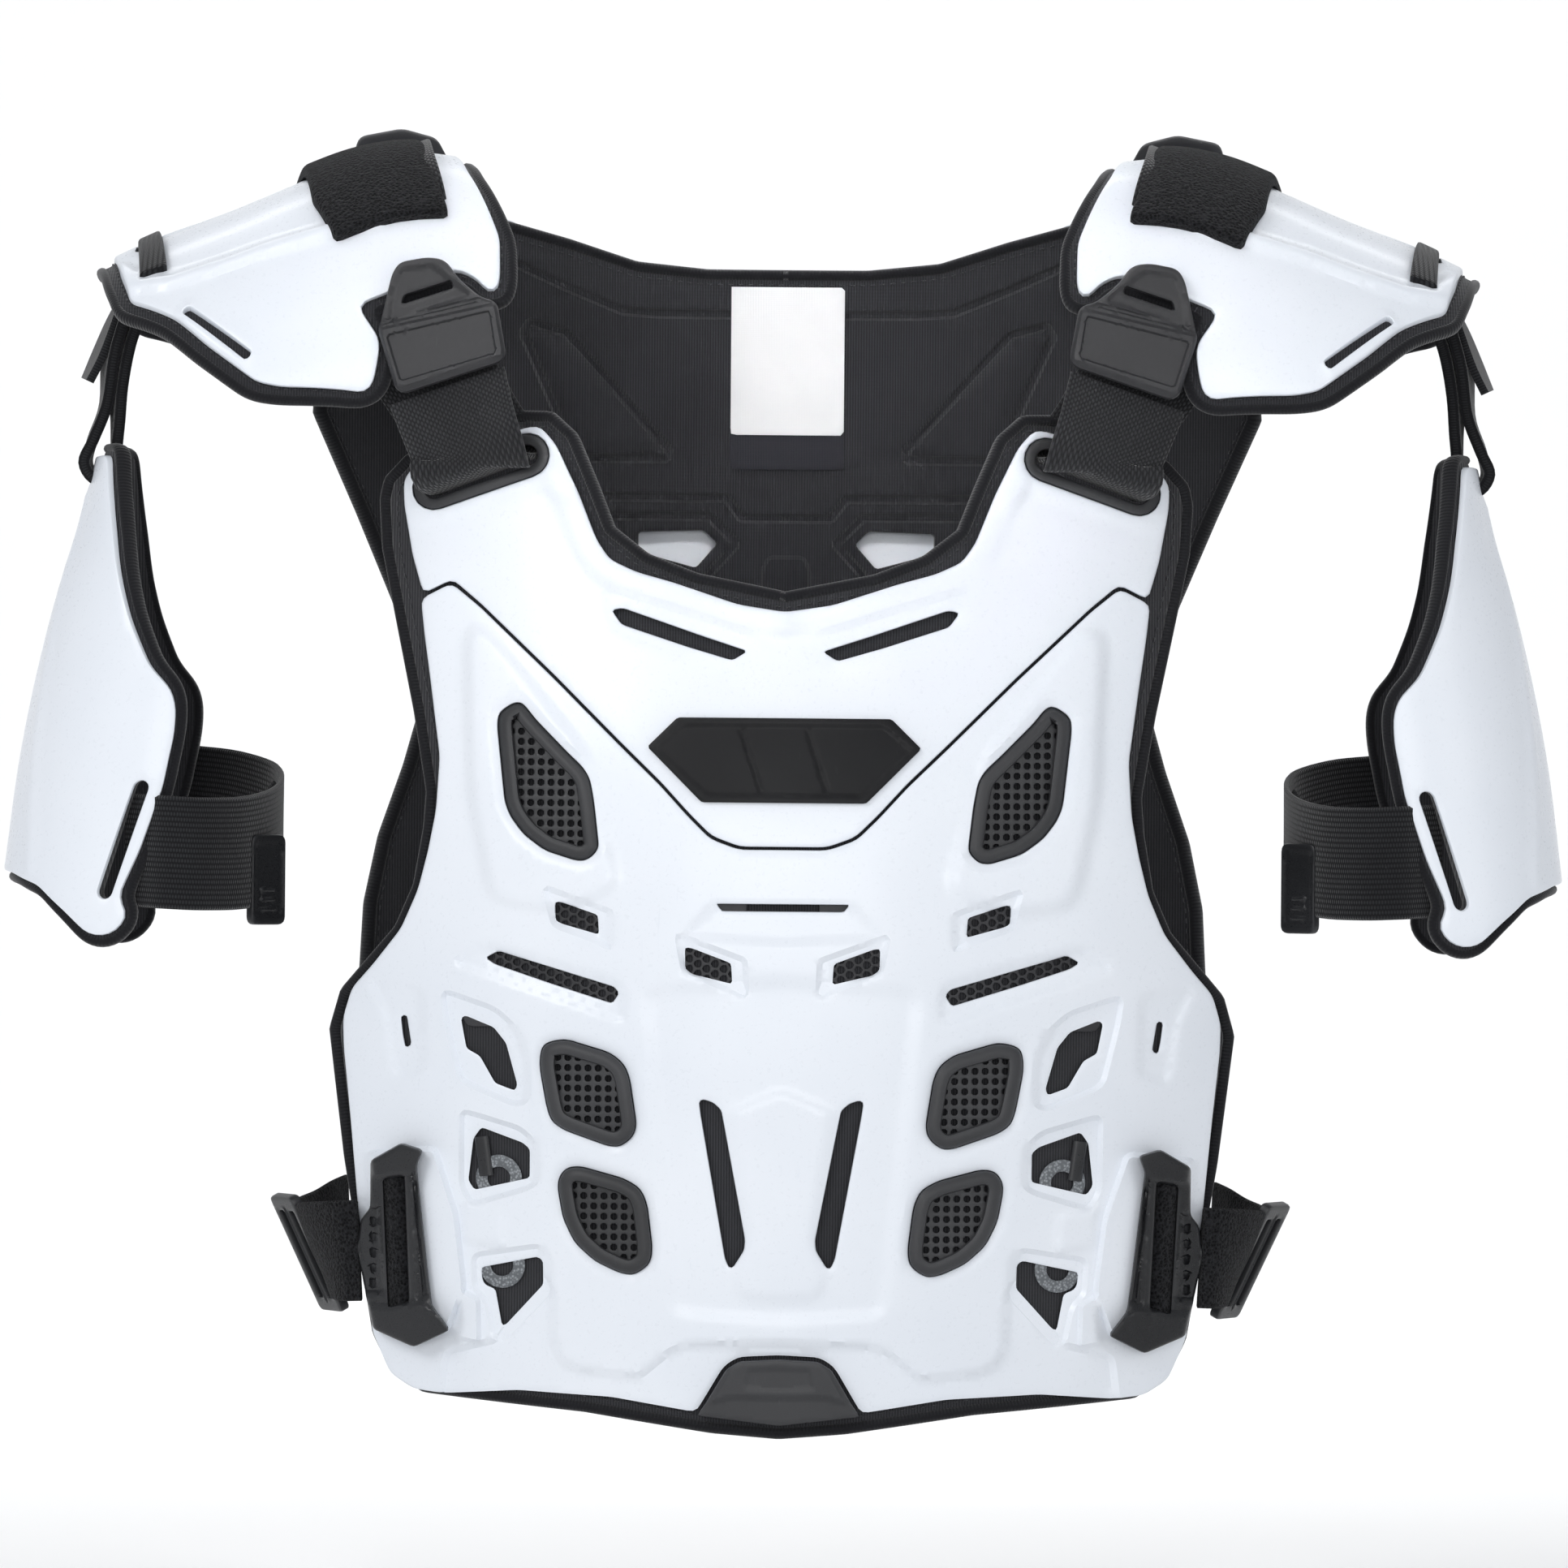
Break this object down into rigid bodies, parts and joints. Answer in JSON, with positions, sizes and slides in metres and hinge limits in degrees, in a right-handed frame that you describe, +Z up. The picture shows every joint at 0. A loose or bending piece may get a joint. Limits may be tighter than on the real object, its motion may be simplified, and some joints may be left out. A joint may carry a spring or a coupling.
{
  "type": "roost deflector",
  "caption": "Chest and back protector with white hard shells, padded black liners, vent grilles, shoulder cups on webbing straps and strapped upper arm guards.",
  "frame": {"origin": "middle of the shoulder line, where the wearer's shoulders carry the protector", "axes": "+X to the viewer's right from the front, +Y from the chest to the back, +Z up"},
  "size_m": [0.642, 0.2516, 0.538],
  "materials": {
    "shell": "satin white moulded plastic",
    "tab": "matt black moulded rubber",
    "grille": "matt black rubber",
    "mesh": "black net",
    "grommet": "satin black rubber",
    "waist_rubber": "satin black rubber",
    "emblem": "satin black moulded plastic",
    "liner": "black ribbed fabric over foam",
    "binding": "black ribbed binding tape",
    "webbing": "black webbing",
    "elastic": "black elastic",
    "buckle": "black moulded plastic",
    "hook": "grey moulded plastic",
    "label_cloth": "white satin ribbon cloth",
    "label_flap": "dark satin ribbon cloth"
  },
  "bodies": {
    "root": {"chest_yoke": "shell", "chest_plate": "shell", "back_shell": "shell", "shoulder_cup_left": "shell", "shoulder_cup_right": "shell", "arm_guard_left": "shell", "arm_guard_right": "shell", "front_tab_left": "tab", "front_tab_right": "tab", "rear_tab_left": "tab", "rear_tab_right": "tab", "vent_upper_left": "grille", "vent_upper_right": "grille", "vent_mid_left": "grille", "vent_mid_right": "grille", "vent_low_left": "grille", "vent_low_right": "grille", "mesh_insert_left": "mesh", "mesh_insert_right": "mesh", "strap_grommet_left": "grommet", "strap_grommet_right": "grommet", "waist_plate": "waist_rubber", "chest_emblem": "emblem", "chest_liner": "liner", "back_liner": "liner", "shoulder_pad_left": "liner", "shoulder_pad_right": "liner", "arm_pad_left": "liner", "arm_pad_right": "liner", "chest_binding": "binding", "back_binding": "binding", "shoulder_strap_left": "webbing", "shoulder_strap_right": "webbing", "side_strap_left": "webbing", "side_strap_right": "webbing", "arm_link_left": "webbing", "arm_link_right": "webbing", "buckle_pin_left": "webbing", "buckle_pin_right": "webbing", "arm_strap_left": "elastic", "arm_strap_right": "elastic", "side_buckle_left": "buckle", "side_buckle_right": "buckle", "strap_slider_left": "buckle", "strap_slider_right": "buckle", "arm_strap_tab_left": "buckle", "arm_strap_tab_right": "buckle", "buckle_hook_upper_left": "hook", "buckle_hook_upper_right": "hook", "buckle_hook_lower_left": "hook", "buckle_hook_lower_right": "hook", "care_label": "label_cloth", "care_label_flap": "label_flap"}
  },
  "joints": []
}
